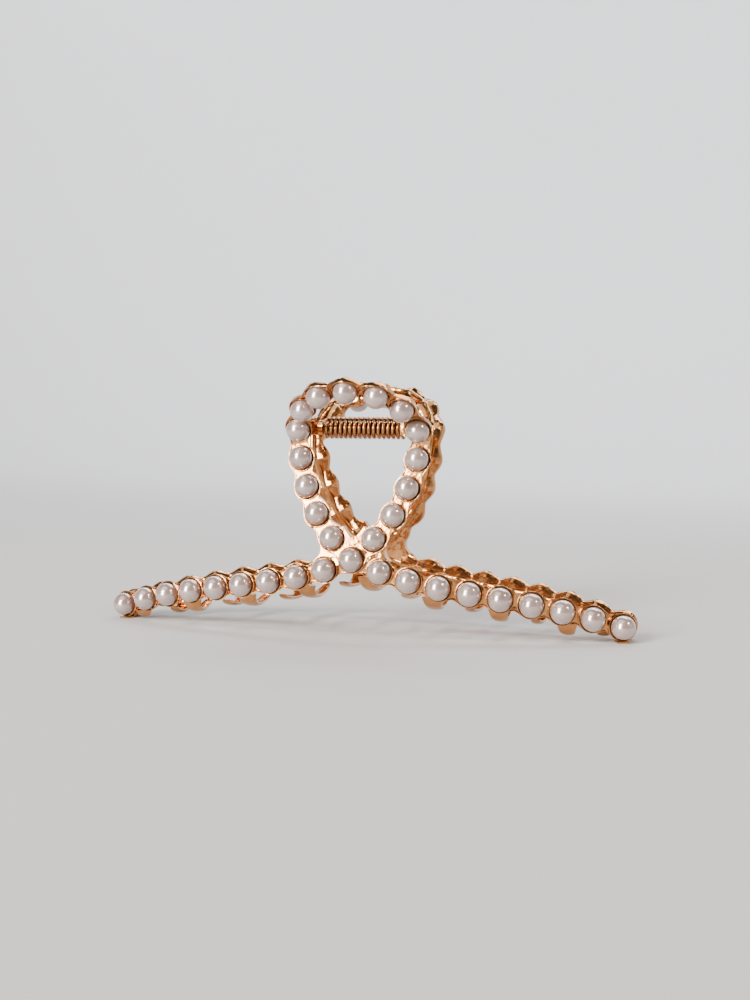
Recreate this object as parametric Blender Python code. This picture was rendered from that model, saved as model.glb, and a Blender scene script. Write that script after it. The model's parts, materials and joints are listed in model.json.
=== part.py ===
"""Pearl-set claw clip: two identical cast jaws that swing on one pin under a torsion spring.

Frame: metres, +Z up, X along the arms. The jaws face each other across the plane y = 0, and the
clip stands on the feet of its closed arms at z = 0. The front jaw is modelled on the -Y side, and
the back jaw is the same casting turned half a turn about Z.
"""
import math

import bmesh
import bpy
import numpy as np
from mathutils import Matrix, Vector

MM = 0.001

# Pearls, and the row of cups that holds them
PEARL_RADIUS = 2.5 * MM
PEARL_FLAT = 1.3 * MM           # a pearl's flat back lies this far behind its centre
ARM_CUPS = 9                    # cups on each arm, past the one at the crossing
LOOP_CUPS = 8                   # cups from the crossing up to the top of the loop

# Cast jaw
MIDPLANE = 11.0 * MM            # from the crossing pearl's centre back to the plane between the jaws
STANDING_HEIGHT = 15.7 * MM     # from the table up to the crossing pearl's centre
RIM_RADIUS = 3.05 * MM
RIM_DROP = 0.4 * MM             # the rim lies this far behind the pearl's centre
RIM_DEPTH = 1.7 * MM            # the cup's wall is straight down to here, then tapers
CUP_BACK_RADIUS = 2.2 * MM
CUP_BACK_DEPTH = 2.6 * MM
POCKET_RADIUS = 2.75 * MM
POCKET_DEPTH = PEARL_FLAT + 0.25 * MM
WEB_SET_BACK = 0.1 * MM
RIB_DEPTH = 3.0 * MM            # ridge of the rib that runs along the back of every cup
RIB_HALF_WIDTH = 1.5 * MM
RIB_SHOULDER = 1.8 * MM
RIB_FACE_DEPTH = 0.9 * MM
RIB_START = 0.12                # the loop's rib starts this part of a pitch above the crossing
CUP_SIDES = 8

# Teeth, alternating with those of the other jaw
TOOTH_PITCH = 13.5 * MM
TEETH = 8
TOOTH_ROOT_WIDTH = 4.4 * MM
TOOTH_TIP_WIDTH = 2.2 * MM
TOOTH_THICKNESS = 1.2 * MM
TOOTH_DROP = 5.3 * MM           # from the arm's centre line to the bottom of a tooth
TOOTH_CLEARANCE = 1.3 * MM      # left between a tooth's tip and the other jaw
TOOTH_SHORTEST = 0.5 * MM       # the least a tooth passes the plane between the jaws
TOOTH_ROOT_BACK = 1.3 * MM      # root of a tooth, behind and below the arm's centre line
TOOTH_ROOT_DROP = 2.2 * MM
TOOTH_SAG = 0.2 * MM
TOOTH_TIP_RISE = 2.0 * MM
TOOTH_STEPS = 6
TOOTH_OUTLINE = ((-1, -0.4), (-0.6, -1), (0.6, -1), (1, -0.4), (1, 0.6), (-1, 0.6))
GROUND_CLEARANCE = 0.2 * MM     # a low tooth's middle line stays this far above the table
FOOT_LENGTH = 2.4 * MM
FOOT_FRONT = 0.2 * MM
SOLE_THICKNESS = 0.35 * MM

# Hinge
HINGE_RISE = 27.3 * MM          # hinge axis above the crossing pearl's centre
PIN_RADIUS = 0.75 * MM
PIN_HOLE_RADIUS = 0.9 * MM
PIN_HEAD_RADIUS = 1.25 * MM
PIN_HEAD_GAP = 0.2 * MM
LUG_RADIUS = 1.65 * MM
LUG_THICKNESS = 1.3 * MM
LUG_ARM = 7.0 * MM              # from the pin down to the end of a lug's arm
LUG_SIDES = 16
BORE_END = 15.0 * MM            # the bore's cutter ends beyond every lug
INNER_LUG = 9.9 * MM            # middle of the lug beside the coil
OUTER_LUG = 11.6 * MM           # middle of the lug at the jaw's other side
WIRE_RADIUS = 0.42 * MM
COIL_RADIUS = 1.85 * MM         # to the middle of the wire
COIL_TURNS = 16
COIL_STEPS = 10                 # points in each turn
COIL_START = -8.6 * MM
COIL_END = 8.2 * MM
LEG_LENGTH = 6.2 * MM
LEG_SLOPE = math.radians(35)

# The right half of the pearls' centre line, as Bezier controls from the crossing pearl's centre
ARM_CURVE = [(0.0, 0.0, 0.0), (15.8, 0.0, -7.1), (30.9, 0.0, -5.2), (55.0, 7.9, -12.5)]
LOOP_SIDE_CURVE = [(0.0, 0.0, 0.0), (2.7, 0.0, 3.4), (10.0, 2.0, 6.5), (13.1, 5.2, 23.3)]
LOOP_TOP_CURVE = [(13.1, 5.2, 23.3), (13.8, 5.9, 27.0), (11.5, -5.2, 34.3), (0.0, -5.2, 34.3)]

X_AXIS = Vector((1.0, 0.0, 0.0))
Z_AXIS = Vector((0.0, 0.0, 1.0))
HALF_TURN = Matrix.Rotation(math.pi, 4, "Z")
CROSSING = Vector((0.0, -MIDPLANE, STANDING_HEIGHT))
HINGE_Z = STANDING_HEIGHT + HINGE_RISE


# ---------------------------------------------------------------- materials

def principled(name, colour, metallic, roughness):
    """Return a Principled material with one colour and finish."""
    material = bpy.data.materials.new(name)
    material.use_nodes = True
    shader = material.node_tree.nodes["Principled BSDF"]
    shader.inputs["Base Color"].default_value = (*colour, 1.0)
    shader.inputs["Metallic"].default_value = metallic
    shader.inputs["Roughness"].default_value = roughness
    return material


# ---------------------------------------------------------------- centre lines

def cubic(controls, u):
    """Return the point of a cubic Bezier curve at u."""
    weights = ((1 - u) ** 3, 3 * (1 - u) ** 2 * u, 3 * (1 - u) * u ** 2, u ** 3)
    return sum(weight * np.array(control) for weight, control in zip(weights, controls))


def bezier(controls, samples=80):
    """Return points on a cubic Bezier curve whose controls are in millimetres."""
    return np.array([cubic(controls, u) for u in np.linspace(0.0, 1.0, samples)]) * MM


class Stroke:
    """Half of one band of the jaw: a centre line in a sheet that bends about one axis only."""

    def __init__(self, points, cups, bend_axis):
        self.points = points + np.array(CROSSING)
        steps = np.linalg.norm(np.diff(self.points, axis=0), axis=1)
        self.lengths = np.concatenate([[0.0], np.cumsum(steps)])
        self.pitch = self.lengths[-1] / cups
        self.bend_axis = bend_axis

    def point(self, distance):
        return Vector([np.interp(distance, self.lengths, self.points[:, i]) for i in range(3)])

    def frame(self, place, side=1):
        """Return the frame at a place counted in cups: X along the band, Z out of the sheet."""
        distance = place * self.pitch
        centre = self.point(distance)
        reach = 0.02 * self.pitch
        tangent = self.point(distance + reach) - self.point(distance - reach)
        # At the very top the line runs along X, so the sheet's slope is read just before it.
        slope_at = min(distance, self.lengths[-1] - 0.2 * self.pitch)
        slope = self.point(slope_at + reach) - self.point(slope_at - reach)
        normal = slope.cross(self.bend_axis).normalized()
        if normal.y > 0:
            normal.negate()
        if side < 0:
            centre.x, tangent.x, normal.x = -centre.x, -tangent.x, -normal.x
        tangent = (tangent - normal * tangent.dot(normal)).normalized()
        across = normal.cross(tangent)
        return Matrix((tangent, across, normal)).transposed().to_4x4(), centre


def placed(frame, centre):
    return Matrix.Translation(centre) @ frame


ARM = Stroke(bezier(ARM_CURVE), ARM_CUPS, Z_AXIS)
LOOP = Stroke(np.vstack([bezier(LOOP_SIDE_CURVE), bezier(LOOP_TOP_CURVE)[1:]]), LOOP_CUPS, X_AXIS)


def cup_places():
    """Return {name: matrix} for the cups of the front jaw."""
    upright = Matrix(((1, 0, 0), (0, 0, -1), (0, 1, 0))).to_4x4()
    places = {"crossing": placed(upright, CROSSING)}
    for index in range(1, ARM_CUPS + 1):
        places[f"right_arm_{index}"] = placed(*ARM.frame(index))
        places[f"left_arm_{index}"] = placed(*ARM.frame(index, side=-1))
    for index in range(1, LOOP_CUPS):
        places[f"right_loop_{index}"] = placed(*LOOP.frame(index))
        places[f"left_loop_{index}"] = placed(*LOOP.frame(index, side=-1))
    places["loop_top"] = placed(*LOOP.frame(LOOP_CUPS))
    return places


# ---------------------------------------------------------------- solids

def new_object(name, mesh_maker, material=None):
    """Return a linked object whose mesh mesh_maker fills, with its faces pointing out."""
    bm = bmesh.new()
    mesh_maker(bm)
    bmesh.ops.recalc_face_normals(bm, faces=bm.faces[:])
    mesh = bpy.data.meshes.new(name)
    bm.to_mesh(mesh)
    bm.free()
    if material:
        mesh.materials.append(material)
    obj = bpy.data.objects.new(name, mesh)
    bpy.context.scene.collection.objects.link(obj)
    return obj


def loft(bm, sections):
    """Join closed sections, each a list of the same number of points, and cap both ends."""
    rings = [[bm.verts.new(point) for point in section] for section in sections]
    for low, high in zip(rings, rings[1:]):
        for i in range(len(low)):
            j = (i + 1) % len(low)
            bm.faces.new((low[i], low[j], high[j], high[i]))
    bm.faces.new(rings[0])
    bm.faces.new(rings[-1])


def ring(matrix, radius, height, sides, turn=0.0):
    """Return points on a circle in a frame's XY plane."""
    points = []
    for i in range(sides):
        angle = 2 * math.pi * (i + turn) / sides
        points.append(matrix @ Vector((radius * math.cos(angle), radius * math.sin(angle), height)))
    return points


def cup_solid(bm, matrix):
    loft(bm, [ring(matrix, RIM_RADIUS, -RIM_DROP, CUP_SIDES),
              ring(matrix, RIM_RADIUS, -RIM_DEPTH, CUP_SIDES),
              ring(matrix, CUP_BACK_RADIUS, -CUP_BACK_DEPTH, CUP_SIDES)])


def pocket_solid(bm, matrix):
    loft(bm, [ring(matrix, POCKET_RADIUS, MM - RIM_DROP, CUP_SIDES),
              ring(matrix, POCKET_RADIUS, -POCKET_DEPTH, CUP_SIDES)])


def rib_section(matrix):
    """A five-sided bar behind the cups: flat towards the pearls, ridged towards the hair."""
    outline = [(-RIB_HALF_WIDTH, -RIB_FACE_DEPTH), (RIB_HALF_WIDTH, -RIB_FACE_DEPTH),
               (RIB_HALF_WIDTH, -RIB_SHOULDER), (0.0, -RIB_DEPTH),
               (-RIB_HALF_WIDTH, -RIB_SHOULDER)]
    return [matrix @ Vector((0.0, across, depth)) for across, depth in outline]


def arm_rib(bm):
    """One bar from the left arm's end, through the crossing, to the right arm's end."""
    places = range(1, ARM_CUPS + 1)
    # The left arm's frames point left, so its sections are turned about their normals.
    left = [placed(*ARM.frame(place, side=-1)) @ HALF_TURN for place in reversed(places)]
    right = [placed(*ARM.frame(place)) for place in places]
    loft(bm, [rib_section(matrix) for matrix in left + right])


def loop_rib(bm):
    """One bar up the right side of the loop, over its top, and down the left side."""
    places = [RIB_START] + [i / 2 for i in range(2, 2 * LOOP_CUPS)]
    right = [placed(*LOOP.frame(place)) for place in places]
    top = [placed(*LOOP.frame(LOOP_CUPS))]
    left = [placed(*LOOP.frame(place, side=-1)) @ HALF_TURN for place in reversed(places)]
    loft(bm, [rib_section(matrix) for matrix in right + top + left])


def web_solid(bm, corners):
    """A flat web that fills the corner between three cups, just behind their rims."""
    front = [corner.to_translation() + Vector((0.0, RIM_DROP + WEB_SET_BACK, 0.0)) for corner in corners]
    back = [point + Vector((0.0, RIM_DEPTH, 0.0)) for point in front]
    loft(bm, [front, back])


def tooth_solid(bm, x):
    """A claw tooth that leaves the arm's lower edge, curves under the hair and ends in a blunt tip."""
    along = float(np.interp(abs(x), ARM.points[:, 0], ARM.lengths)) / ARM.pitch
    _, centre = ARM.frame(along, side=1 if x > 0 else -1)
    inner_face = -centre.y - RIB_DEPTH
    reach = -centre.y + max(inner_face - TOOTH_CLEARANCE, TOOTH_SHORTEST)
    drop = min(TOOTH_DROP, centre.z - GROUND_CLEARANCE)
    middle = [(TOOTH_ROOT_BACK, -TOOTH_ROOT_DROP), (TOOTH_ROOT_BACK + 0.5 * MM, -drop),
              (0.6 * reach, -drop - TOOTH_SAG), (reach, -drop + TOOTH_TIP_RISE)]
    sections = []
    for step in range(TOOTH_STEPS + 1):
        u = step / TOOTH_STEPS
        y, z = cubic(middle, u)
        # Each pair of sections stands square to one leg of the curve's controls.
        leg = min(step // 2, 2)
        dy, dz = (middle[leg + 1][i] - middle[leg][i] for i in (0, 1))
        length = math.hypot(dy, dz)
        across = Vector((0.0, -dz / length, dy / length))
        half_width = 0.5 * (TOOTH_ROOT_WIDTH + (TOOTH_TIP_WIDTH - TOOTH_ROOT_WIDTH) * u ** 2)
        half_thickness = 0.5 * TOOTH_THICKNESS * (1.0 - 0.35 * u)
        point = centre + Vector((0.0, y, z))
        point.x = x
        sections.append([point + X_AXIS * half_width * a + across * half_thickness * b
                         for a, b in TOOTH_OUTLINE])
    loft(bm, sections)


def foot_solid(bm, side):
    """A flat sole under the last cup of an arm, with a post up to the cup's back."""
    frame, centre = ARM.frame(ARM_CUPS, side)
    along = (frame @ X_AXIS).to_3d()
    along.z = 0.0
    outward = (frame @ Z_AXIS).to_3d()
    profile = [(FOOT_FRONT, 0.0), (-CUP_BACK_DEPTH, 0.0), (-CUP_BACK_DEPTH, centre.z),
               (-RIM_DEPTH, centre.z), (-RIM_DEPTH, SOLE_THICKNESS), (FOOT_FRONT, SOLE_THICKNESS)]
    sections = []
    for offset in (-FOOT_LENGTH / 2, FOOT_LENGTH / 2):
        start = Vector((centre.x, centre.y, 0.0)) + along.normalized() * offset
        sections.append([start + outward * depth + Z_AXIS * height for depth, height in profile])
    loft(bm, sections)


def lug_solid(bm, x):
    """An ear round the hinge pin, with its arm running back into the loop's side."""
    matrix = Matrix.Translation((x, 0.0, HINGE_Z)) @ Matrix.Rotation(math.pi / 2, 4, "Y")
    outline = ring(Matrix.Identity(4), LUG_RADIUS, 0.0, LUG_SIDES, turn=0.5)
    eye = [point.xy for point in outline if point.y > 0.0]
    eye.sort(key=lambda point: math.atan2(point.x, point.y))
    profile = [Vector((-LUG_RADIUS, -LUG_ARM))] + eye + [Vector((LUG_RADIUS, -LUG_ARM))]
    faces = []
    for height in (-LUG_THICKNESS / 2, LUG_THICKNESS / 2):
        faces.append([matrix @ Vector((point.x, point.y, height)) for point in profile])
    loft(bm, faces)


def hinge_bore(bm):
    matrix = Matrix.Translation((0.0, 0.0, HINGE_Z)) @ Matrix.Rotation(math.pi / 2, 4, "Y")
    loft(bm, [ring(matrix, PIN_HOLE_RADIUS, end, LUG_SIDES) for end in (-BORE_END, BORE_END)])


# ---------------------------------------------------------------- pieces

def combine(target, operation, tools):
    """Apply one exact Boolean of every tool to the target, and remove the tools."""
    collection = bpy.data.collections.new("tools")
    bpy.context.scene.collection.children.link(collection)
    for tool in tools:
        bpy.context.scene.collection.objects.unlink(tool)
        collection.objects.link(tool)
    modifier = target.modifiers.new(operation.title(), "BOOLEAN")
    modifier.operation = operation
    modifier.operand_type = "COLLECTION"
    modifier.collection = collection
    modifier.solver = "EXACT"
    modifier.use_self = False
    graph = bpy.context.evaluated_depsgraph_get()
    result = bpy.data.meshes.new_from_object(target.evaluated_get(graph))
    target.modifiers.clear()
    target.data = result
    for tool in tools:
        bpy.data.objects.remove(tool)
    bpy.data.collections.remove(collection)


def make_jaw(name, cups, metal):
    """Cast one jaw on the front side: cups, ribs, webs, teeth, feet and hinge lugs in one body."""
    jaw = new_object(name, arm_rib, metal)
    additions = [new_object("loop_rib", loop_rib)]
    for matrix in cups.values():
        additions.append(new_object("cup", lambda bm, m=matrix: cup_solid(bm, m)))
    for side in ("right", "left"):
        corners = [cups["crossing"], cups[f"{side}_arm_1"], cups[f"{side}_loop_1"]]
        additions.append(new_object("web", lambda bm, c=corners: web_solid(bm, c)))
    collar = [cups["crossing"], cups["right_loop_1"], cups["left_loop_1"]]
    additions.append(new_object("web", lambda bm: web_solid(bm, collar)))
    for index in range(TEETH):
        x = (index - TEETH / 2 + 0.25) * TOOTH_PITCH
        additions.append(new_object("tooth", lambda bm, x=x: tooth_solid(bm, x)))
    for side in (1, -1):
        additions.append(new_object("foot", lambda bm, s=side: foot_solid(bm, s)))
    additions.append(new_object("lug", lambda bm: lug_solid(bm, INNER_LUG)))
    additions.append(new_object("lug", lambda bm: lug_solid(bm, -OUTER_LUG)))
    combine(jaw, "UNION", additions)

    cuts = [new_object("pocket", lambda bm, m=matrix: pocket_solid(bm, m)) for matrix in cups.values()]
    cuts.append(new_object("bore", hinge_bore))
    combine(jaw, "DIFFERENCE", cuts)
    return jaw


def pearl_mesh(material):
    """A glossy bead with a flat back that sits on the floor of its cup."""
    bm = bmesh.new()
    bmesh.ops.create_icosphere(bm, subdivisions=2, radius=PEARL_RADIUS)
    for vert in bm.verts:
        vert.co.z = max(vert.co.z, -PEARL_FLAT)
    mesh = bpy.data.meshes.new("pearl")
    bm.to_mesh(mesh)
    bm.free()
    mesh.materials.append(material)
    mesh.shade_smooth()
    return mesh


def make_pin(metal):
    """A turned pin with a domed head at each end, outside the outermost lugs."""
    end = OUTER_LUG + LUG_THICKNESS / 2 + PIN_HEAD_GAP
    matrix = Matrix.Translation((0.0, 0.0, HINGE_Z)) @ Matrix.Rotation(math.pi / 2, 4, "Y")
    profile = [(-end - 0.9 * MM, 0.6 * PIN_HEAD_RADIUS), (-end - 0.5 * MM, PIN_HEAD_RADIUS),
               (-end, PIN_HEAD_RADIUS), (-end, PIN_RADIUS), (end, PIN_RADIUS), (end, PIN_HEAD_RADIUS),
               (end + 0.5 * MM, PIN_HEAD_RADIUS), (end + 0.9 * MM, 0.6 * PIN_HEAD_RADIUS)]
    rings = [ring(matrix, radius, x, LUG_SIDES) for x, radius in profile]
    pin = new_object("hinge_pin", lambda bm: loft(bm, rings), metal)
    pin.data.shade_smooth()
    pin.data.set_sharp_from_angle(angle=math.radians(40))
    return pin


def spring_path():
    """Points of the wire: a leg to the back jaw, the coil, then a leg to the front jaw."""
    steps = COIL_STEPS * COIL_TURNS
    coil = []
    for i in range(steps + 1):
        angle = 2 * math.pi * i / COIL_STEPS
        x = COIL_START + (COIL_END - COIL_START) * i / steps
        coil.append(Vector((x, -COIL_RADIUS * math.sin(angle), HINGE_Z - COIL_RADIUS * math.cos(angle))))
    leg_rise = Vector((0.0, math.cos(LEG_SLOPE), math.sin(LEG_SLOPE)))
    back_leg = [coil[0] + leg_rise * LEG_LENGTH * s for s in (1.0, 0.5)]
    front_leg = [coil[-1] + Vector((0.0, -leg_rise.y, leg_rise.z)) * LEG_LENGTH * s for s in (0.5, 1.0)]
    return back_leg + coil + front_leg


def make_spring(metal):
    curve = bpy.data.curves.new("torsion_spring", "CURVE")
    curve.dimensions = "3D"
    curve.bevel_depth = WIRE_RADIUS
    curve.bevel_resolution = 1
    curve.use_fill_caps = True
    points = spring_path()
    spline = curve.splines.new("POLY")
    spline.points.add(len(points) - 1)
    for slot, point in zip(spline.points, points):
        slot.co = (*point, 1.0)
    curve.materials.append(metal)
    spring = bpy.data.objects.new("torsion_spring", curve)
    bpy.context.scene.collection.objects.link(spring)
    return spring


# Pearls of the loop's two sides stay out of the solids, which are limited in number.
UNMODELLED = {f"{side}_loop_{index}" for side in ("right", "left") for index in (2, 3, 4)}


def build():
    for obj in list(bpy.data.objects):
        bpy.data.objects.remove(obj)
    rose_gold = principled("rose_gold", (0.80, 0.50, 0.30), 1.0, 0.18)
    copper_wire = principled("copper_wire", (0.55, 0.27, 0.14), 1.0, 0.25)
    pearl = principled("pearl", (0.86, 0.79, 0.79), 0.0, 0.16)

    cups = cup_places()
    hinge = bpy.data.objects.new("hinge_axis", None)
    hinge.location = (0.0, 0.0, HINGE_Z)
    bpy.context.scene.collection.objects.link(hinge)
    bpy.context.view_layer.update()

    front = make_jaw("front_jaw", cups, rose_gold)
    back = bpy.data.objects.new("back_jaw", front.data)
    back.matrix_world = HALF_TURN
    bpy.context.scene.collection.objects.link(back)

    bead = pearl_mesh(pearl)
    for jaw_name, turn in (("front", Matrix.Identity(4)), ("back", HALF_TURN)):
        for place, matrix in cups.items():
            if place in UNMODELLED:
                continue
            obj = bpy.data.objects.new(f"{jaw_name}_pearl_{place}", bead)
            obj.matrix_world = turn @ matrix
            bpy.context.scene.collection.objects.link(obj)

    make_pin(rose_gold)
    make_spring(copper_wire)
    bpy.context.view_layer.update()
    for obj in bpy.data.objects:
        if obj.name.startswith("back_"):
            world = obj.matrix_world.copy()
            obj.parent = hinge
            obj.matrix_parent_inverse = hinge.matrix_world.inverted()
            obj.matrix_world = world


build()
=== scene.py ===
"""Looks of the pearl-set claw clip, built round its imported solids.

The two castings, the pearls, the pin and the spring are made again as fine meshes in the places the
solids give them, and each replaces its own solid.
"""
import json
import math

import bmesh
import bpy
import numpy as np
from mathutils import Matrix, Vector

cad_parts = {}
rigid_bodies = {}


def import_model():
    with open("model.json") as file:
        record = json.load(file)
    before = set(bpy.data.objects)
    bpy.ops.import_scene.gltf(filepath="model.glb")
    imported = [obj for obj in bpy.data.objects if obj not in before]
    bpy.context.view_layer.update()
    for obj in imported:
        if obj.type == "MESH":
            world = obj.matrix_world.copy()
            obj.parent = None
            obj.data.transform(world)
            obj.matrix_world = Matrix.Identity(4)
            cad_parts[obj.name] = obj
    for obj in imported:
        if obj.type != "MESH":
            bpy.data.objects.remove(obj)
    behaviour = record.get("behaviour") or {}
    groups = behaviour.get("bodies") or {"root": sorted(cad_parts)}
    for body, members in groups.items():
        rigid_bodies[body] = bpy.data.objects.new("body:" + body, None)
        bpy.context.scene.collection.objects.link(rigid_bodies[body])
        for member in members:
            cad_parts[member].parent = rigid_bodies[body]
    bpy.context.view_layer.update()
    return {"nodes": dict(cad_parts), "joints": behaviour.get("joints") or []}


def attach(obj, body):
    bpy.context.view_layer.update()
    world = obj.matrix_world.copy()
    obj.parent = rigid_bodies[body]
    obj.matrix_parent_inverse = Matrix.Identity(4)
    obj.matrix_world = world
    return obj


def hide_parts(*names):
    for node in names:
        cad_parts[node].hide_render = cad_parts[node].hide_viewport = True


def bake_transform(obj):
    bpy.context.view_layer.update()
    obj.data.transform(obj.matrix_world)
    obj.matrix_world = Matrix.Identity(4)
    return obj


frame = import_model()

MM = 0.001
JOINT = next(joint for joint in frame["joints"] if joint["name"] == "jaw_hinge")
FRONT_BODY = JOINT["parent"]
BACK_BODY = JOINT["child"]
HINGE = Vector(JOINT["pos_m"])

# Sizes shared with the solids
PEARL_RADIUS = 2.5 * MM
PEARL_FLAT = 1.3 * MM
ARM_CUPS = 9
LOOP_CUPS = 8
MIDPLANE = 11.0 * MM
STANDING_HEIGHT = 15.7 * MM
TOOTH_PITCH = 13.5 * MM
TEETH = 8
RIB_DEPTH = 3.0 * MM
PIN_RADIUS = 0.75 * MM
PIN_HEAD_RADIUS = 1.25 * MM
LUG_RADIUS = 1.65 * MM
LUG_THICKNESS = 1.3 * MM
INNER_LUG = 9.9 * MM
OUTER_LUG = 11.6 * MM
WIRE_RADIUS = 0.42 * MM
COIL_TURNS = 16
COIL_START = -8.6 * MM
COIL_END = 8.2 * MM
LEG_LENGTH = 6.2 * MM
LEG_SLOPE = math.radians(35)

# Sizes of the finer shapes; heights and depths are from a pearl's centre, along its cup's axis
LIP_RADIUS = 2.92 * MM
LIP_HEIGHT = -0.45 * MM
CUP_DEPTH = 1.75 * MM
POCKET_RADIUS = 2.58 * MM
POCKET_DEPTH = 1.35 * MM
ARM_VALLEY = 1.8 * MM           # half the band's width between two cups
LOOP_VALLEY = 1.95 * MM
ARM_FACE_DEPTH = 0.75 * MM      # how far the band's face lies behind its two edge rails
LOOP_FACE_DEPTH = 0.32 * MM
RAIL_WIDTH = 0.2 * MM
RIDGE_DEPTH = 2.65 * MM
TROUGH_DEPTH = 1.55 * MM
WALL_DEPTH = 1.45 * MM
BAND_STEPS = 16                 # stations in each cup's length of band
SPINE_DEPTH = 2.15 * MM
SPINE_RADIUS = 0.62 * MM
SPINE_KNUCKLE = 0.2 * MM
SIDE_WEB_VALLEY = 1.7 * MM      # from the cups' centre line to the hollow of a web's free edge
TOP_WEB_VALLEY = 0.3 * MM
WEB_PROUD = 0.03 * MM
WEB_THICKNESS = 2.0 * MM
TOOTH_ROOT_WIDTH = 4.4 * MM
TOOTH_TIP_WIDTH = 1.8 * MM
TOOTH_THICKNESS = 1.5 * MM
TOOTH_TIP_THINNING = 0.35
TOOTH_DROP = 5.8 * MM
TOOTH_DROP_TAPER = 0.02         # how much less it drops for each length out along the arm
TOOTH_HEADROOM = 0.8 * MM
TOOTH_CLEARANCE = 1.3 * MM
TOOTH_ROUNDING_START = 0.86     # where along the tooth its end begins to round off
FOOT_LENGTH = 2.4 * MM
FOOT_NEAR_DEPTH = -0.2 * MM
FOOT_POST_DEPTH = 1.7 * MM
FOOT_FAR_DEPTH = 2.6 * MM
SOLE_THICKNESS = 0.35 * MM
LUG_ARM = 7.0 * MM              # from the pin to the end of a lug's arm
LUG_EASE = 0.15 * MM
BORE_RADIUS = 0.85 * MM
BORE_END = 15.0 * MM
PIN_SLEEVE_RADIUS = 1.24 * MM   # the thicker middle that carries the coil
PIN_SLEEVE_END = 7.8 * MM
PIN_HEAD_GAP = 0.2 * MM
PIN_HEAD_EDGE = 0.35 * MM
PIN_HEAD_DOME = 0.5 * MM
PIN_HEAD_EASE = 0.08 * MM
COIL_RADIUS = 2.0 * MM
COIL_STEPS = 28                 # points in each turn
CASTING_SHARP_ANGLE = 32
PEARL_SHARP_ANGLE = 50

# The right half of the pearls' centre line, as Bezier controls in millimetres from the crossing pearl
ARM_CURVE = [(0.0, 0.0, 0.0), (15.8, 0.0, -7.1), (30.9, 0.0, -5.2), (55.0, 7.9, -12.5)]
LOOP_SIDE_CURVE = [(0.0, 0.0, 0.0), (2.7, 0.0, 3.4), (10.0, 2.0, 6.5), (13.1, 5.2, 23.3)]
LOOP_TOP_CURVE = [(13.1, 5.2, 23.3), (13.8, 5.9, 27.0), (11.5, -5.2, 34.3), (0.0, -5.2, 34.3)]

IDENTITY = Matrix.Identity(4)
X_AXIS = Vector((1.0, 0.0, 0.0))
Z_AXIS = Vector((0.0, 0.0, 1.0))
HALF_TURN = Matrix.Rotation(math.pi, 4, "Z")
CROSSING = Vector((0.0, -MIDPLANE, STANDING_HEIGHT))
HINGE_FRAME = Matrix.Translation(HINGE) @ Matrix.Rotation(math.pi / 2, 4, "Y")


# ---------------------------------------------------------------- centre lines

def cubic(controls, u):
    """Return the point of a cubic Bezier curve at u."""
    weights = ((1 - u) ** 3, 3 * (1 - u) ** 2 * u, 3 * (1 - u) * u ** 2, u ** 3)
    return sum(weight * np.array(control) for weight, control in zip(weights, controls))


def bezier(controls, samples=80):
    return np.array([cubic(controls, u) for u in np.linspace(0.0, 1.0, samples)]) * MM


class Stroke:
    """Half of one band of the jaw: a centre line in a sheet that bends about one axis only."""

    def __init__(self, points, cups, bend_axis):
        self.points = points + np.array(CROSSING)
        steps = np.linalg.norm(np.diff(self.points, axis=0), axis=1)
        self.lengths = np.concatenate([[0.0], np.cumsum(steps)])
        self.pitch = self.lengths[-1] / cups
        self.bend_axis = bend_axis

    def point(self, distance):
        return Vector([np.interp(distance, self.lengths, self.points[:, i]) for i in range(3)])

    def frame(self, place, side=1):
        """Return the matrix at a place counted in cups: X along the band, Z out of the sheet."""
        distance = place * self.pitch
        centre = self.point(distance)
        reach = 0.02 * self.pitch
        tangent = self.point(distance + reach) - self.point(distance - reach)
        # At the very top the line runs along X, so the sheet's slope is read just before it.
        slope_at = min(distance, self.lengths[-1] - 0.2 * self.pitch)
        slope = self.point(slope_at + reach) - self.point(slope_at - reach)
        normal = slope.cross(self.bend_axis).normalized()
        if normal.y > 0:
            normal.negate()
        if side < 0:
            centre.x, tangent.x, normal.x = -centre.x, -tangent.x, -normal.x
        tangent = (tangent - normal * tangent.dot(normal)).normalized()
        across = normal.cross(tangent)
        axes = Matrix((tangent, across, normal)).transposed().to_4x4()
        return Matrix.Translation(centre) @ axes


ARM = Stroke(bezier(ARM_CURVE), ARM_CUPS, Z_AXIS)
LOOP = Stroke(np.vstack([bezier(LOOP_SIDE_CURVE), bezier(LOOP_TOP_CURVE)[1:]]), LOOP_CUPS, X_AXIS)


def cup_places():
    """Return {name: matrix} for the cups of the front jaw."""
    upright = Matrix(((1, 0, 0), (0, 0, -1), (0, 1, 0))).to_4x4()
    places = {"crossing": Matrix.Translation(CROSSING) @ upright}
    for side, sign in (("right", 1), ("left", -1)):
        for index in range(1, ARM_CUPS + 1):
            places[f"{side}_arm_{index}"] = ARM.frame(index, sign)
        for index in range(1, LOOP_CUPS):
            places[f"{side}_loop_{index}"] = LOOP.frame(index, sign)
    places["loop_top"] = LOOP.frame(LOOP_CUPS)
    return places


# ---------------------------------------------------------------- mesh tools

def walls(bm, sections):
    """Join closed sections, each a list of the same number of points; return their rings of vertices."""
    rings = [[bm.verts.new(point) for point in section] for section in sections]
    for low, high in zip(rings, rings[1:]):
        for i in range(len(low)):
            j = (i + 1) % len(low)
            bm.faces.new((low[i], low[j], high[j], high[i]))
    return rings


def loft(bm, sections):
    """Join closed sections and cap the two ends."""
    rings = walls(bm, sections)
    bm.faces.new(rings[0])
    bm.faces.new(rings[-1])


def around(sides):
    """Return the angles of points evenly spaced round a circle."""
    return [2 * math.pi * i / sides for i in range(sides)]


def ring(matrix, radius, height, sides):
    """Return points on a circle across a frame's Z axis."""
    return [matrix @ Vector((radius * math.cos(a), radius * math.sin(a), height)) for a in around(sides)]


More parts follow.
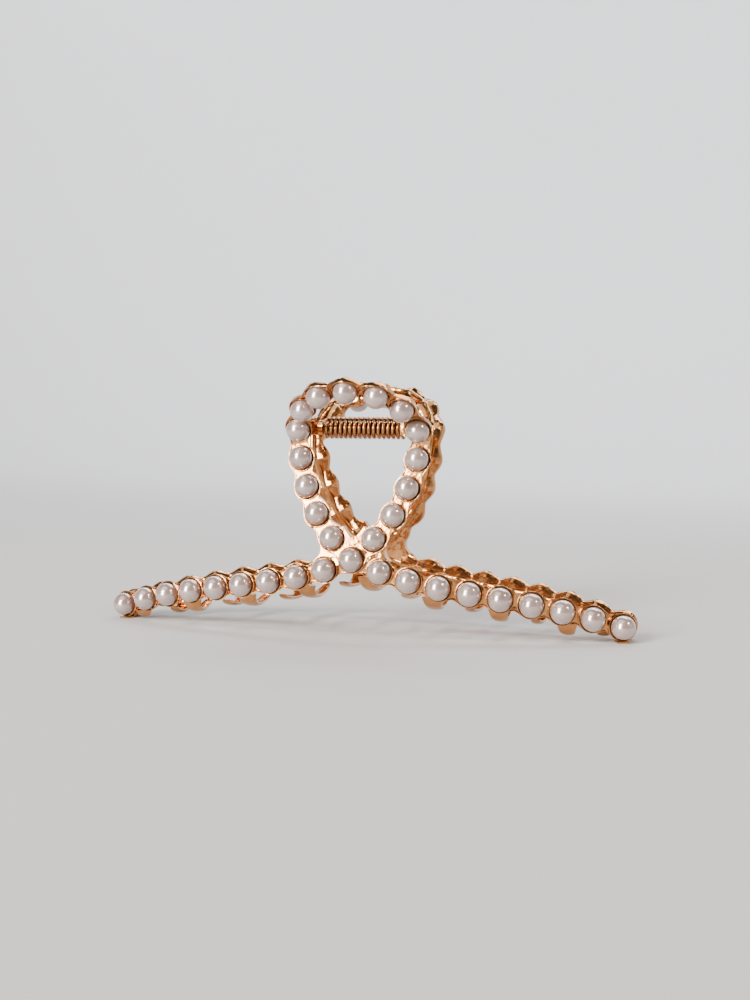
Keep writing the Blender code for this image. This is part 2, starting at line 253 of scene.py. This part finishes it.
def turned(bm, matrix, profile, sides=32):
    """A turned solid from (radius, height) pairs; its ends are flat discs."""
    loft(bm, [ring(matrix, radius, height, sides) for radius, height in profile])


def tube(bm, points, radii, sides):
    """A round bar through points, with a radius at each."""
    sections = []
    side = (points[1] - points[0]).orthogonal()
    for i, (point, radius) in enumerate(zip(points, radii)):
        ahead = (points[min(i + 1, len(points) - 1)] - points[max(i - 1, 0)]).normalized()
        side = (side - ahead * side.dot(ahead)).normalized()
        up = ahead.cross(side)
        sections.append([point + (side * math.cos(a) + up * math.sin(a)) * radius for a in around(sides)])
    loft(bm, sections)


def new_mesh(name, maker, sharp_angle=35):
    """Return a smooth-shaded mesh that the maker fills, with its faces pointing out."""
    bm = bmesh.new()
    maker(bm)
    bmesh.ops.recalc_face_normals(bm, faces=bm.faces[:])
    mesh = bpy.data.meshes.new(name)
    bm.to_mesh(mesh)
    bm.free()
    mesh.shade_smooth()
    mesh.set_sharp_from_angle(angle=math.radians(sharp_angle))
    return mesh


def place(name, data, matrix=IDENTITY):
    """Return a new object in the scene."""
    obj = bpy.data.objects.new(name, data)
    obj.matrix_world = matrix
    bpy.context.scene.collection.objects.link(obj)
    return obj


def combine(target, operation, makers):
    """Apply one Boolean to the target, with a solid from each maker; the result stays closed."""
    collection = bpy.data.collections.new("tools")
    bpy.context.scene.collection.children.link(collection)
    tools = [bpy.data.objects.new("tool", new_mesh("tool", maker)) for maker in makers]
    for tool in tools:
        collection.objects.link(tool)
    modifier = target.modifiers.new(operation.title(), "BOOLEAN")
    modifier.operation = operation
    modifier.operand_type = "COLLECTION"
    modifier.collection = collection
    modifier.solver = "MANIFOLD"
    graph = bpy.context.evaluated_depsgraph_get()
    result = bpy.data.meshes.new_from_object(target.evaluated_get(graph))
    target.modifiers.clear()
    target.data = result
    for tool in tools:
        bpy.data.objects.remove(tool)
    bpy.data.collections.remove(collection)


def drop_crumbs(mesh):
    """Remove the loose crumbs that the cuts leave: every part of the mesh but the largest."""
    bm = bmesh.new()
    bm.from_mesh(mesh)
    parts, seen = [], set()
    for vert in bm.verts:
        if vert in seen:
            continue
        seen.add(vert)
        part = [vert]
        for member in part:
            neighbours = [edge.other_vert(member) for edge in member.link_edges]
            fresh = [other for other in neighbours if other not in seen]
            seen.update(fresh)
            part += fresh
        parts.append(part)
    parts.sort(key=len)
    for crumb in parts[:-1]:
        bmesh.ops.delete(bm, geom=crumb, context="VERTS")
    bm.to_mesh(mesh)
    bm.free()


# ---------------------------------------------------------------- the casting

def cup(bm, matrix):
    """A cup's solid body with a rounded lip, a little narrower at the back."""
    ease = 0.09 * MM
    turned(bm, matrix, [
        (LIP_RADIUS - 0.4 * MM, -CUP_DEPTH), (LIP_RADIUS - 0.2 * MM, -CUP_DEPTH + 0.25 * MM),
        (LIP_RADIUS, LIP_HEIGHT - ease), (LIP_RADIUS - 0.3 * ease, LIP_HEIGHT - 0.3 * ease),
        (LIP_RADIUS - ease, LIP_HEIGHT)], sides=48)


def pocket(bm, matrix):
    """The seat of a pearl, flared at the lip."""
    ease = 0.2 * MM
    turned(bm, matrix, [
        (POCKET_RADIUS - 0.15 * MM, -POCKET_DEPTH), (POCKET_RADIUS, -POCKET_DEPTH + 0.15 * MM),
        (POCKET_RADIUS, LIP_HEIGHT - ease), (POCKET_RADIUS + 0.6 * ease, LIP_HEIGHT - 0.3 * ease),
        (POCKET_RADIUS + 1.2 * ease, LIP_HEIGHT + 0.2 * ease),
        (POCKET_RADIUS + 1.2 * ease, LIP_HEIGHT + 1.0 * MM)], sides=44)


class Band:
    """A run of cups along a stroke, kept as (frame, half width, back depth) from one end to the other."""

    def __init__(self, stroke, valley, cups, start):
        self.stroke = stroke
        self.valley = valley
        self.cups = cups
        stops = [i / BAND_STEPS for i in range(int(start * BAND_STEPS) + 1, cups * BAND_STEPS + 1)]
        self.right = [self.station(stroke.frame(at), at) for at in [start] + stops]
        self.left = [self.station(stroke.frame(at, side=-1) @ HALF_TURN, at) for at in stops[::-1] + [start]]

    def station(self, matrix, at):
        """The edge is scalloped from cup to valley; the back has a ridge at each cup and a trough between."""
        wave = 0.5 + 0.5 * math.cos(2 * math.pi * at)
        half_width = self.valley + (LIP_RADIUS - self.valley) * wave ** 0.7
        from_cup = 2 * abs(at - round(at))
        return matrix, half_width, RIDGE_DEPTH - (RIDGE_DEPTH - TROUGH_DEPTH) * from_cup

    def rounded_end(self, side):
        """Stations that carry the band round the outer half of its last cup."""
        stations = []
        slope = (RIDGE_DEPTH - TROUGH_DEPTH) / (self.stroke.pitch / 2)
        for beyond in (0.8 * MM, 1.5 * MM, 2.1 * MM, 2.5 * MM, 2.72 * MM):
            matrix = self.stroke.frame(self.cups, side) @ Matrix.Translation((beyond, 0.0, 0.0))
            half_width = math.sqrt(LIP_RADIUS ** 2 - beyond ** 2)
            stations.append((matrix, half_width, RIDGE_DEPTH - slope * beyond))
        return stations


def band_outline(matrix, half, back, sunk):
    """Two edge rails with a sunk face between, straight walls and a hipped back."""
    inner, top = half - RAIL_WIDTH, LIP_HEIGHT
    wall = WALL_DEPTH + 0.35 * (back - TROUGH_DEPTH)
    side = [(inner - 0.05 * MM, top - sunk), (inner, top - 0.08 * MM),
            (inner + 0.06 * MM, top), (half - 0.06 * MM, top), (half, top - 0.08 * MM),
            (half - 0.22 * MM, -wall + 0.12 * MM), (half - 0.4 * MM, -wall - 0.08 * MM),
            (half - 1.1 * MM, -back)]
    outline = side + [(-across, depth) for across, depth in reversed(side)]
    return [matrix @ Vector((0.0, across, depth)) for across, depth in outline]


def both_bands():
    """Return the arms' and the loop's stations."""
    arm = Band(ARM, ARM_VALLEY, ARM_CUPS, 0.5)
    loop = Band(LOOP, LOOP_VALLEY, LOOP_CUPS, 0.12)
    left_end = [(matrix @ HALF_TURN, half, back) for matrix, half, back in reversed(arm.rounded_end(-1))]
    return left_end + arm.left + arm.right + arm.rounded_end(1), loop.right + loop.left[1:]


def band(bm, stations, sunk):
    loft(bm, [band_outline(*station, sunk) for station in stations])


def spine(bm, stations):
    """The bamboo-like rib along the middle of a band's back, with a knuckle at each ridge."""
    points, radii = [], []
    for matrix, _, back in stations:
        points.append(matrix @ Vector((0.0, 0.0, -SPINE_DEPTH)))
        knuckle = max((back - RIDGE_DEPTH) / (0.3 * (RIDGE_DEPTH - TROUGH_DEPTH)) + 1.0, 0.0)
        radii.append(SPINE_RADIUS + SPINE_KNUCKLE * math.sqrt(knuckle))
    tube(bm, points, radii, sides=12)


def web(bm, corners, valley):
    """A flat web between three cups, just behind their lips; its edge opposite the first is hollowed."""
    pivot, first, last = (corner.to_translation() for corner in corners)
    lift = Vector((0.0, -LIP_HEIGHT + WEB_PROUD, 0.0))
    along = (last - first).normalized()
    outward = (first + last) / 2 - pivot
    outward = (outward - along * outward.dot(along)).normalized()
    reach = (last - first).length
    edge = []
    for share in (0.25, 0.32, 0.39, 0.46, 0.54, 0.61, 0.68, 0.75):
        hollow = valley + (PEARL_RADIUS - valley) * (abs(share - 0.5) / 0.25) ** 2
        edge.append(first + along * reach * share + outward * hollow)
    front = [point + lift for point in [pivot, first] + edge + [last]]
    back = [point + Vector((0.0, WEB_THICKNESS, 0.0)) for point in front]
    loft(bm, [front, back])


def tooth(bm, x):
    """A claw tooth that leaves the arm's lower edge, curves under the hair and ends in a round tip."""
    along = float(np.interp(abs(x), ARM.points[:, 0], ARM.lengths)) / ARM.pitch
    centre = ARM.frame(along, 1 if x > 0 else -1).to_translation()
    inner_face = -centre.y - RIB_DEPTH
    reach = -centre.y + max(inner_face - TOOTH_CLEARANCE, 0.5 * MM)
    drop = min(TOOTH_DROP - TOOTH_DROP_TAPER * abs(x), centre.z - TOOTH_HEADROOM)
    controls = [(1.3 * MM, -2.2 * MM), (1.8 * MM, -drop), (0.6 * reach, -drop - 0.2 * MM),
                (reach, -drop + 2.0 * MM)]
    sections = []
    for u in (0.0, 0.08, 0.16, 0.26, 0.36, 0.46, 0.56, 0.66, 0.76, 0.84, 0.90, 0.945, 0.975, 0.99, 1.0):
        y, z = cubic(controls, u)
        ahead = cubic(controls, min(u + 0.01, 1.0)) - cubic(controls, max(u - 0.01, 0.0))
        ahead /= np.linalg.norm(ahead)
        across = Vector((0.0, -ahead[1], ahead[0]))
        past = max((u - TOOTH_ROUNDING_START) / (1.0 - TOOTH_ROUNDING_START), 0.0)
        rounding = math.sqrt(max(1.0 - past ** 2, 0.02))
        half_width = 0.5 * (TOOTH_ROOT_WIDTH + (TOOTH_TIP_WIDTH - TOOTH_ROOT_WIDTH) * u ** 0.7) * rounding
        half_thickness = 0.5 * TOOTH_THICKNESS * (1.0 - TOOTH_TIP_THINNING * u) * rounding
        point = Vector((x, centre.y + y, centre.z + z))
        section = []
        for a in around(16):
            c, s = math.cos(a), math.sin(a)
            wide = math.copysign(abs(c) ** 0.85, c) * half_width
            thick = math.copysign(abs(s) ** 0.9, s) * half_thickness
            section.append(point + X_AXIS * wide + across * thick)
        sections.append(section)
    loft(bm, sections)


def foot(bm, side):
    """A flat sole under the last cup of an arm, with a post up to the cup's back."""
    matrix = ARM.frame(ARM_CUPS, side)
    centre = matrix.to_translation()
    along = matrix.to_3x3() @ X_AXIS
    along.z = 0.0
    outward = matrix.to_3x3() @ Z_AXIS
    profile = [(-FOOT_NEAR_DEPTH, 0.0), (-FOOT_FAR_DEPTH, 0.0), (-FOOT_FAR_DEPTH, centre.z),
               (-FOOT_POST_DEPTH, centre.z), (-FOOT_POST_DEPTH, SOLE_THICKNESS),
               (-FOOT_NEAR_DEPTH, SOLE_THICKNESS)]
    sections = []
    for offset in (-FOOT_LENGTH / 2, FOOT_LENGTH / 2):
        start = Vector((centre.x, centre.y, 0.0)) + along.normalized() * offset
        sections.append([start + outward * depth + Z_AXIS * height for depth, height in profile])
    loft(bm, sections)


def lug(bm, x):
    """An ear round the hinge pin, with eased edges and an arm running back into the loop's side."""
    matrix = Matrix.Translation((x - HINGE.x, 0.0, 0.0)) @ HINGE_FRAME
    face = LUG_THICKNESS / 2
    sections = []
    for height, inset in ((-face, LUG_EASE), (-face + LUG_EASE, 0.0),
                          (face - LUG_EASE, 0.0), (face, LUG_EASE)):
        radius = LUG_RADIUS - inset
        arc = [math.pi * k / 16 for k in range(17)]
        outline = [(-radius * math.cos(a), radius * math.sin(a)) for a in arc]
        outline += [(radius, -LUG_ARM), (-radius, -LUG_ARM)]
        sections.append([matrix @ Vector((across, ahead, height)) for across, ahead in outline])
    loft(bm, sections)


def hinge_bore(bm):
    turned(bm, HINGE_FRAME, [(BORE_RADIUS, -BORE_END), (BORE_RADIUS, BORE_END)])


def cup_number(name):
    """How many cups a place is from the crossing."""
    ends = {"crossing": 0, "loop_top": LOOP_CUPS}
    return ends[name] if name in ends else int(name[-1])


def casting_mesh(cups):
    """Return the mesh of one jaw: every feature united, then the pockets and the bore cut."""
    features = [lambda bm, m=matrix: cup(bm, m) for matrix in cups.values()]
    for stations, sunk in zip(both_bands(), (ARM_FACE_DEPTH, LOOP_FACE_DEPTH)):
        features.append(lambda bm, s=stations, depth=sunk: band(bm, s, depth))
        features.append(lambda bm, s=stations: spine(bm, s))
    features += [lambda bm, s=side: foot(bm, s) for side in (1, -1)]
    for trio, valley in ((("crossing", "right_arm_1", "right_loop_1"), SIDE_WEB_VALLEY),
                         (("crossing", "left_arm_1", "left_loop_1"), SIDE_WEB_VALLEY),
                         (("crossing", "right_loop_1", "left_loop_1"), TOP_WEB_VALLEY)):
        features.append(lambda bm, t=trio, v=valley: web(bm, [cups[name] for name in t], v))
    for index in range(TEETH):
        features.append(lambda bm, i=index: tooth(bm, (i - TEETH / 2 + 0.25) * TOOTH_PITCH))
    for x in (INNER_LUG, -OUTER_LUG):
        features.append(lambda bm, x=x: lug(bm, x))

    casting = place("casting", new_mesh("casting", features[0]))
    combine(casting, "UNION", features[1:])
    # Neighbouring pockets overlap in the air above the lips, so every other one is cut at a time.
    for parity in (0, 1):
        chosen = [matrix for name, matrix in cups.items() if cup_number(name) % 2 == parity]
        combine(casting, "DIFFERENCE", [lambda bm, m=matrix: pocket(bm, m) for matrix in chosen])
    combine(casting, "DIFFERENCE", [hinge_bore])
    mesh = casting.data
    bpy.data.objects.remove(casting)
    drop_crumbs(mesh)
    mesh.shade_smooth()
    mesh.set_sharp_from_angle(angle=math.radians(CASTING_SHARP_ANGLE))
    return mesh


# ---------------------------------------------------------------- the other pieces

def bead(bm):
    """A round pearl with a flat back."""
    rows, sides = 18, 32
    flat_edge = math.acos(-PEARL_FLAT / PEARL_RADIUS)
    angles = [flat_edge * k / rows for k in range(rows, 0, -1)]
    rings = walls(bm, [ring(IDENTITY, PEARL_RADIUS * math.sin(a), PEARL_RADIUS * math.cos(a), sides)
                       for a in angles])
    bm.faces.new(rings[0])
    top = bm.verts.new((0.0, 0.0, PEARL_RADIUS))
    for i in range(sides):
        bm.faces.new((rings[-1][i], rings[-1][(i + 1) % sides], top))


def make_pearls(cups, material):
    """The pearls' places are kept in their meshes, so that their boxes are no larger than they are."""
    bead_mesh = new_mesh("pearl", bead, PEARL_SHARP_ANGLE)
    bead_mesh.materials.append(material)
    for jaw, body, turn in (("front", FRONT_BODY, IDENTITY), ("back", BACK_BODY, HALF_TURN)):
        for cup_name, matrix in cups.items():
            node = f"{jaw}_pearl_{cup_name}"
            mesh = bead_mesh.copy()
            mesh.transform(turn @ matrix)
            pearl = place(f"fine_{node}", mesh)
            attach(pearl, body)
            if node in frame["nodes"]:
                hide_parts(node)
    bpy.data.meshes.remove(bead_mesh)


def make_pin(material):
    """The pin, with a domed head at each end; it wears the darker copper wire finish as painted shade inside
    the coil.
    """
    end = OUTER_LUG + LUG_THICKNESS / 2 + PIN_HEAD_GAP
    dome = [(PIN_HEAD_RADIUS * math.cos(a), end + PIN_HEAD_EDGE + PIN_HEAD_DOME * math.sin(a))
            for a in [math.radians(d) for d in (0, 20, 40, 60, 80)]]
    half = [(PIN_SLEEVE_RADIUS, 0.0), (PIN_SLEEVE_RADIUS, PIN_SLEEVE_END), (PIN_RADIUS, PIN_SLEEVE_END),
            (PIN_RADIUS, end), (PIN_HEAD_RADIUS - PIN_HEAD_EASE, end),
            (PIN_HEAD_RADIUS, end + PIN_HEAD_EASE)] + dome
    profile = [(radius, -x) for radius, x in reversed(half)] + half[1:]
    mesh = new_mesh("pin", lambda bm: turned(bm, HINGE_FRAME, profile))
    mesh.materials.append(material)
    pin = place("fine_hinge_pin", mesh)
    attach(pin, FRONT_BODY)
    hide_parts("hinge_pin")


def make_spring(material):
    """The wire: a leg to the back jaw, the coil, and a leg to the front jaw."""
    steps = COIL_STEPS * COIL_TURNS
    coil = []
    for i in range(steps + 1):
        angle = 2 * math.pi * i / COIL_STEPS
        x = COIL_START + (COIL_END - COIL_START) * i / steps
        offset = Vector((0.0, -COIL_RADIUS * math.sin(angle), -COIL_RADIUS * math.cos(angle)))
        coil.append(Vector((x, 0.0, HINGE.z)) + offset)
    backward = Vector((0.0, math.cos(LEG_SLOPE), math.sin(LEG_SLOPE)))
    forward = Vector((0.0, -backward.y, backward.z))
    shares = (0.15, 0.3, 0.5, 0.7, 0.85, 0.97, 1.0)
    back_leg = [coil[0] + backward * LEG_LENGTH * s for s in reversed(shares)]
    front_leg = [coil[-1] + forward * LEG_LENGTH * s for s in shares]
    points = back_leg + coil + front_leg
    radii = [WIRE_RADIUS] * len(points)
    radii[0] = radii[-1] = 0.6 * WIRE_RADIUS
    mesh = new_mesh("spring", lambda bm: tube(bm, points, radii, sides=14))
    mesh.materials.append(material)
    spring = place("fine_torsion_spring", mesh)
    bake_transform(spring)
    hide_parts("torsion_spring")


def make_jaws(cups, material):
    """Both jaws share one mesh; the back one is turned half a turn."""
    mesh = casting_mesh(cups)
    mesh.materials.clear()
    mesh.materials.append(material)
    for name, body, turn in (("front_jaw", FRONT_BODY, IDENTITY), ("back_jaw", BACK_BODY, HALF_TURN)):
        jaw = place(f"fine_{name}", mesh, turn)
        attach(jaw, body)
        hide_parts(name)


# ---------------------------------------------------------------- materials

class Nodes:
    """A short way to write a material's node tree."""

    def __init__(self, name):
        self.material = bpy.data.materials.new(name)
        self.material.use_nodes = True
        self.tree = self.material.node_tree
        self.shader = self.tree.nodes["Principled BSDF"]

    def add(self, kind, **inputs):
        node = self.tree.nodes.new(kind)
        for key, value in inputs.items():
            self.put(node.inputs[key.replace("_", " ")], value)
        return node

    def finish(self, **inputs):
        """Set or link inputs of the surface shader, with an underscore for each space in their names."""
        for key, value in inputs.items():
            self.put(self.shader.inputs[key.replace("_", " ")], value)

    def put(self, socket, value):
        if isinstance(value, bpy.types.NodeSocket):
            self.tree.links.new(value, socket)
        else:
            socket.default_value = value

    def position(self):
        return self.tree.nodes.new("ShaderNodeTexCoord").outputs["Object"]

    def noise(self, scale, detail, roughness=0.55):
        node = self.add("ShaderNodeTexNoise", Vector=self.position(), Scale=scale, Detail=detail,
                        Roughness=roughness)
        return node.outputs["Fac"]

    def ramp(self, factor, stops):
        node = self.add("ShaderNodeValToRGB", Fac=factor)
        elements = node.color_ramp.elements
        while len(elements) < len(stops):
            elements.new(0.5)
        for element, (position, colour) in zip(elements, stops):
            element.position = position
            element.color = (*colour, 1.0)
        return node.outputs["Color"]

    def span(self, factor, **limits):
        """Map a value between limits named From_Min, From_Max, To_Min and To_Max; 0 and 1 where not given."""
        return self.add("ShaderNodeMapRange", Value=factor, **limits).outputs["Result"]

    def bump(self, height, strength, distance, normal=None):
        node = self.add("ShaderNodeBump", Height=height, Strength=strength, Distance=distance)
        if normal is not None:
            self.tree.links.new(normal, node.inputs["Normal"])
        return node.outputs["Normal"]


def rose_gold():
    """Polished plating over a die casting: soft waves, fine pits and slightly darker worn patches."""
    n = Nodes("rose_gold_plating")
    patches = n.noise(260.0, detail=5.0)
    smears = n.noise(620.0, detail=6.0, roughness=0.6)
    waves = n.noise(420.0, detail=2.0)
    pits = n.noise(2600.0, detail=3.0)
    colour = n.ramp(patches, [(0.30, (0.45, 0.19, 0.065)), (0.55, (0.62, 0.30, 0.115)),
                              (0.75, (0.78, 0.43, 0.19))])
    soft = n.bump(waves, 0.6, 0.4 * MM)
    n.finish(Base_Color=colour, Metallic=1.0, Roughness=n.span(smears, To_Min=0.08, To_Max=0.30),
             Normal=n.bump(pits, 0.12, 0.06 * MM, soft))
    return n.material


def copper_wire():
    """Drawn spring wire with a copper flash and faint draw marks."""
    n = Nodes("copper_spring_wire")
    marks = n.noise(1500.0, detail=5.0)
    colour = n.ramp(marks, [(0.30, (0.26, 0.115, 0.045)), (0.60, (0.47, 0.23, 0.095)),
                            (0.80, (0.68, 0.37, 0.17))])
    n.finish(Base_Color=colour, Metallic=1.0, Roughness=n.span(marks, To_Min=0.10, To_Max=0.26),
             Normal=n.bump(marks, 0.2, 0.04 * MM))
    return n.material


def pearl_coat():
    """Imitation pearl: nacre lacquer over a white bead, with faint pink and lilac clouding."""
    n = Nodes("pearl_lacquer")
    clouds = n.noise(330.0, detail=3.0)
    grain = n.noise(700.0, detail=2.0)
    colour = n.ramp(clouds, [(0.25, (0.34, 0.225, 0.20)), (0.50, (0.40, 0.29, 0.255)),
                             (0.75, (0.46, 0.36, 0.31))])
    n.finish(Base_Color=colour, Metallic=0.42, Roughness=n.span(grain, To_Min=0.22, To_Max=0.30),
             Subsurface_Weight=0.08, Subsurface_Radius=(1.2 * MM, 0.8 * MM, 0.7 * MM), Subsurface_Scale=1.0,
             Coat_Weight=1.0, Coat_IOR=2.5, Coat_Roughness=0.05, Specular_IOR_Level=1.0,
             Normal=n.bump(grain, 0.05, 0.1 * MM))
    return n.material


# ---------------------------------------------------------------- stage, lights and camera

def paper():
    """Pale paper, darkened with painted shade towards the camera's side, where it is only seen mirrored in
    the metal.
    """
    n = Nodes("pale_paper_with_painted_shade")
    turned_place = n.add("ShaderNodeVectorRotate", Vector=n.position(), Angle=math.radians(22))
    depth = n.add("ShaderNodeSeparateXYZ", Vector=turned_place.outputs["Vector"]).outputs["Y"]
    # Painted shade: the ramp runs from dark grey on the camera's side to pale on the far side.
    painted_shade_fade = n.span(depth, From_Min=-0.7, From_Max=0.6)
    colour = n.ramp(painted_shade_fade, [(0.0, (0.21, 0.205, 0.20)), (0.5, (0.50, 0.49, 0.485)), (1.0, (0.66, 0.67, 0.69))])
    fibres = n.noise(900.0, detail=5.0)
    n.finish(Base_Color=colour, Roughness=0.75, Normal=n.bump(fibres, 0.08, 0.2 * MM))
    return n.material


def stage_floor(bm):
    """A round floor that turns up into a wall on every side."""
    radius, fillet, height, sides, steps = 1.5, 0.6, 0.95, 96, 12
    profile = [(0.02, 0.0), (0.3, 0.0), (radius - fillet, 0.0)]
    for k in range(1, steps + 1):
        a = math.pi / 2 * k / steps
        profile.append((radius - fillet + fillet * math.sin(a), fillet - fillet * math.cos(a)))
    profile.append((radius, height))
    rings = walls(bm, [ring(IDENTITY, r, z, sides) for r, z in profile])
    bm.faces.new(rings[0])


def make_stage():
    mesh = new_mesh("stage", stage_floor)
    mesh.flip_normals()
    mesh.materials.append(paper())
    place("stage", mesh)


def area_light(name, bearing, distance, size, power, colour, aim=Vector((0.0, 0.0, 0.025))):
    """A soft box aimed at a point; its bearing is degrees to the right of the front, and degrees up."""
    light = bpy.data.lights.new(name, "AREA")
    light.shape = "RECTANGLE"
    light.size, light.size_y = size
    light.energy = power
    light.color = colour
    azimuth, elevation = (math.radians(angle) for angle in bearing)
    direction = Vector((math.sin(azimuth) * math.cos(elevation), -math.cos(azimuth) * math.cos(elevation),
                        math.sin(elevation)))
    facing = direction.to_track_quat("Z", "Y").to_matrix().to_4x4()
    place(name, light, Matrix.Translation(aim + direction * distance) @ facing)


def make_lights():
    area_light("window", (-26, 18), 0.9, (0.30, 0.70), 27.0, (1.0, 0.99, 0.97))
    area_light("skylight", (-35, 62), 1.0, (0.9, 0.7), 3.5, (1.0, 0.96, 0.92))
    area_light("lamp", (72, 40), 0.9, (0.08, 0.08), 3.2, (1.0, 0.78, 0.58))
    area_light("overhead", (165, 58), 1.1, (0.7, 0.35), 4.0, (1.0, 0.97, 0.94))
    area_light("backdrop", (0, 70), 0.9, (1.6, 0.2), 18.0, (0.97, 0.98, 1.0), aim=Vector((0.0, 1.2, 0.1)))
    world = bpy.data.worlds.new("room")
    world.use_nodes = True
    background = world.node_tree.nodes["Background"]
    background.inputs["Color"].default_value = (0.82, 0.85, 0.90, 1.0)
    background.inputs["Strength"].default_value = 0.08
    bpy.context.scene.world = world


def make_camera():
    """The photograph's view: a 45 mm lens a hand's length from the clip, to its right and just above.

    In the photograph the clip leans back; it stands upright here, so the camera leans instead.
    """
    distance = 257.8 * MM
    right_of_crossing, below_crossing = 5.0 * MM, 12.4 * MM     # where the camera points
    azimuth, pitch, roll, lean = (math.radians(angle) for angle in (15.29, 9.7, -1.3, 7.0))
    turns = (Matrix.Rotation(lean, 4, "X") @ Matrix.Rotation(azimuth, 4, "Z")
             @ Matrix.Rotation(math.pi / 2 - pitch, 4, "X") @ Matrix.Rotation(roll, 4, "Z"))
    stand_off = Matrix.Translation((right_of_crossing, below_crossing, distance))
    data = bpy.data.cameras.new("camera")
    data.lens = 45.0
    data.sensor_width = 36.0
    data.clip_start = 0.01
    data.clip_end = 20.0
    bpy.context.scene.camera = place("camera", data, Matrix.Translation(CROSSING) @ turns @ stand_off)


# ---------------------------------------------------------------- build

def build():
    cups = cup_places()
    gold = rose_gold()
    make_jaws(cups, gold)
    make_pearls(cups, pearl_coat())
    copper = copper_wire()
    # The pin shares the wire's darker copper as painted shade, so the gaps between the coil's turns read
    # dark.
    make_pin(copper)
    make_spring(copper)
    make_stage()
    make_lights()
    make_camera()


build()
bpy.context.view_layer.update()
